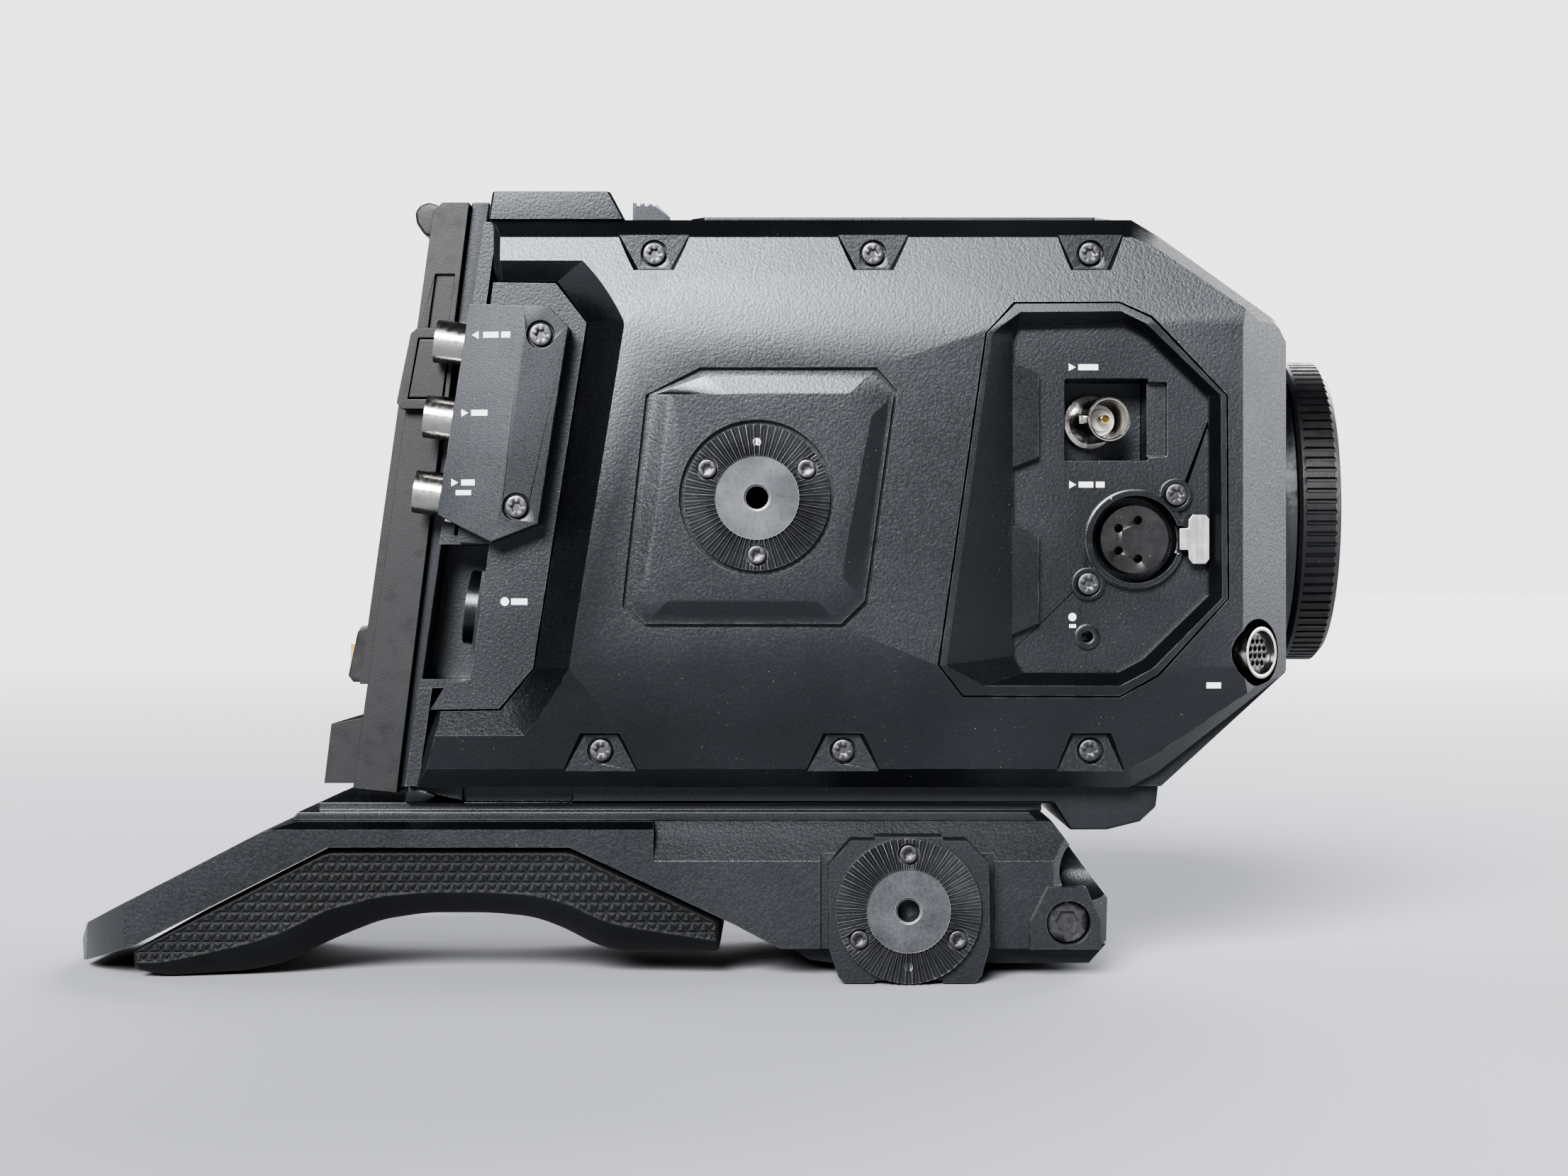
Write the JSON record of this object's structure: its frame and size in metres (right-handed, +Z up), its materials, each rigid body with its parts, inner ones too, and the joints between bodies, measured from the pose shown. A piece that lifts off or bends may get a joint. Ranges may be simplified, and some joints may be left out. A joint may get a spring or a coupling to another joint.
{
  "type": "cinema camera with shoulder mount",
  "caption": "Compact digital cinema camera body on a shoulder mount, with side accessory rosettes, video and power sockets, rear battery plate, fold-out monitor and capped lens mount.",
  "frame": {"origin": "on the ground plane, under the middle of the overall box", "axes": "+X towards the lens, -Y towards the side with the connector bay, +Z up"},
  "size_m": [0.288, 0.106, 0.1752],
  "materials": {
    "casing": "satin black powder coat over die-cast alloy, fine grain",
    "smooth_black": "smooth satin black paint",
    "rosette_metal": "dark grey worn metal",
    "dark_screw": "black oxide",
    "nickel": "satin nickel plate",
    "gold": "gold flash",
    "steel": "brushed",
    "bare_alloy": "machined",
    "black_plastic": "matt moulded plastic, fine grain",
    "socket_plastic": "half-gloss black plastic",
    "pad_rubber": "moulded rubber, patterned sides",
    "screen": "glossy dark window",
    "sensor_cover": "coated glass",
    "board": "solder-resist green"
  },
  "bodies": {
    "camera": {"main_chassis": "casing", "right_side_cover": "casing", "left_side_cover": "casing", "casing_screws": "dark_screw", "rosette_panel": "casing", "side_rosette": "rosette_metal", "low_rosettes": "rosette_metal", "rosette_screws": "dark_screw", "rosette_brackets": "casing", "connector_bezel": "smooth_black", "front_connector_panel": "casing", "front_bnc": "nickel", "rear_bncs": "nickel", "rear_video_pins": "gold", "xlr_out_shell": "smooth_black", "xlr_out_insert": "socket_plastic", "remote_jack": "smooth_black", "lens_socket_ring": "nickel", "lens_socket_insert": "socket_plastic", "rear_connector_frame": "casing", "rear_connector_cover": "smooth_black", "dc_in_socket": "smooth_black", "top_plate": "smooth_black", "audio_housing": "casing", "mic_sockets": "socket_plastic", "microphone_grille": "smooth_black", "lens_mount": "dark_screw", "sensor_carrier": "bare_alloy", "sensor_glass": "sensor_cover", "circuit_boards": "board", "heat_sink": "bare_alloy", "fan_frame": "socket_plastic", "battery_adapter": "smooth_black", "battery_plate": "black_plastic", "battery_contact_block": "socket_plastic", "battery_contacts": "gold", "monitor_hinge_pin": "steel", "camera_foot": "smooth_black", "mounting_plates": "smooth_black", "shoulder_base": "casing", "shoulder_pad": "pad_rubber", "wedge_plate": "smooth_black"},
    "monitor": {"monitor_shell": "casing", "monitor_glass": "screen"},
    "monitor_key_1": {"monitor_button_1": "black_plastic"},
    "monitor_key_2": {"monitor_button_2": "black_plastic"},
    "cap": {"body_cap": "black_plastic"},
    "fan": {"fan_rotor": "socket_plastic"},
    "audio_dial_1": {"audio_knob_1": "black_plastic"},
    "audio_dial_2": {"audio_knob_2": "black_plastic"},
    "record_key": {"record_button": "black_plastic"},
    "power_slider": {"power_switch": "black_plastic"},
    "lens_release": {"lens_release_button": "black_plastic"},
    "battery_release": {"battery_release_button": "black_plastic"},
    "battery_catch": {"battery_lever": "black_plastic"},
    "mic_catch_right": {"mic_latch_right": "smooth_black"},
    "mic_catch_left": {"mic_latch_left": "smooth_black"},
    "power_plug_tab": {"xlr_push_tab": "steel"},
    "rod_screw_right": {"rod_clamp_right": "dark_screw"},
    "rod_screw_left": {"rod_clamp_left": "dark_screw"}
  },
  "joints": [
    {"name": "monitor_swing", "type": "hinge", "parent": "camera", "child": "monitor", "pos_m": [0.08575, 0.0498, 0.1108], "axis": [0, 0, -1], "range_deg": [0, 105]},
    {"name": "monitor_key_1_press", "type": "slide", "parent": "monitor", "child": "monitor_key_1", "axis": [0, -1, 0], "range_m": [0, 0.0004], "stiffness_N_per_m": 800},
    {"name": "monitor_key_2_press", "type": "slide", "parent": "monitor", "child": "monitor_key_2", "axis": [0, -1, 0], "range_m": [0, 0.0004], "stiffness_N_per_m": 800},
    {"name": "cap_twist", "type": "hinge", "parent": "camera", "child": "cap", "pos_m": [0.13675, 0, 0.1053], "axis": [1, 0, 0], "range_deg": [-60, 0]},
    {"name": "fan_spin", "type": "hinge", "parent": "camera", "child": "fan", "pos_m": [0.01875, 0, 0.1053], "axis": [0, 1, 0], "continuous": true},
    {"name": "audio_dial_1_turn", "type": "hinge", "parent": "camera", "child": "audio_dial_1", "pos_m": [0.10875, 0.05, 0.1233], "axis": [0, 1, 0], "range_deg": [-150, 150]},
    {"name": "audio_dial_2_turn", "type": "hinge", "parent": "camera", "child": "audio_dial_2", "pos_m": [0.10875, 0.05, 0.1063], "axis": [0, 1, 0], "range_deg": [-150, 150]},
    {"name": "record_press", "type": "slide", "parent": "camera", "child": "record_key", "axis": [0, -1, 0], "range_m": [0, 0.0007], "stiffness_N_per_m": 800},
    {"name": "power_slide", "type": "slide", "parent": "camera", "child": "power_slider", "axis": [1, 0, 0], "range_m": [0, 0.0042]},
    {"name": "lens_release_press", "type": "slide", "parent": "camera", "child": "lens_release", "axis": [-1, 0, 0], "range_m": [0, 0.0015], "stiffness_N_per_m": 800},
    {"name": "battery_release_press", "type": "slide", "parent": "camera", "child": "battery_release", "axis": [0, 1, 0], "range_m": [0, 0.0011], "stiffness_N_per_m": 800},
    {"name": "battery_catch_tilt", "type": "hinge", "parent": "camera", "child": "battery_catch", "pos_m": [-0.06165, 0, 0.1693], "axis": [0, 1, 0], "range_deg": [-20, 0], "stiffness_Nm_per_rad": 0.2},
    {"name": "mic_catch_right_press", "type": "slide", "parent": "camera", "child": "mic_catch_right", "axis": [0, 0, -1], "range_m": [0, 0.0009], "stiffness_N_per_m": 800},
    {"name": "mic_catch_left_press", "type": "slide", "parent": "camera", "child": "mic_catch_left", "axis": [0, 0, -1], "range_m": [0, 0.0009], "stiffness_N_per_m": 800},
    {"name": "power_plug_tab_press", "type": "slide", "parent": "camera", "child": "power_plug_tab", "axis": [0, 1, 0], "range_m": [0, 0.0009], "stiffness_N_per_m": 800},
    {"name": "rod_screw_right_turn", "type": "hinge", "parent": "camera", "child": "rod_screw_right", "pos_m": [0.08195, -0.0361, 0.0127], "axis": [0, 1, 0], "range_deg": [-180, 180]},
    {"name": "rod_screw_left_turn", "type": "hinge", "parent": "camera", "child": "rod_screw_left", "pos_m": [0.08195, 0.0361, 0.0127], "axis": [0, 1, 0], "range_deg": [-180, 180]}
  ]
}
